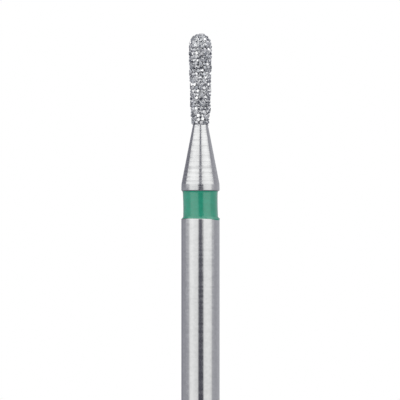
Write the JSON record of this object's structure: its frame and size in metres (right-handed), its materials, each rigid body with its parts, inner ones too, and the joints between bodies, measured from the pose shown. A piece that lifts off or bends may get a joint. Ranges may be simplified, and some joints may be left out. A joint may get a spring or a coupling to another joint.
{
  "type": "dental bur",
  "caption": "Slim rotary dental bur: plain round shank, green band in a groove, tapered neck and a long pear-shaped head covered in diamond grit.",
  "frame": {"origin": "centre of the flat end face of the shank", "axes": "+Z runs along the bur's axis from the shank's end to the tip of the head; the part is round about Z, so X and Y are free"},
  "size_m": [0.0016, 0.0016, 0.019],
  "materials": {
    "steel": "fine ground and polished",
    "lacquer": "green lacquer, gloss",
    "nickel": "plated nickel, rough between the grains",
    "diamond": "grey diamond grit"
  },
  "bodies": {
    "root": {"steel_blank": "steel", "colour_band": "lacquer", "nickel_bond": "nickel", "diamond_grains": "diamond"}
  },
  "joints": []
}
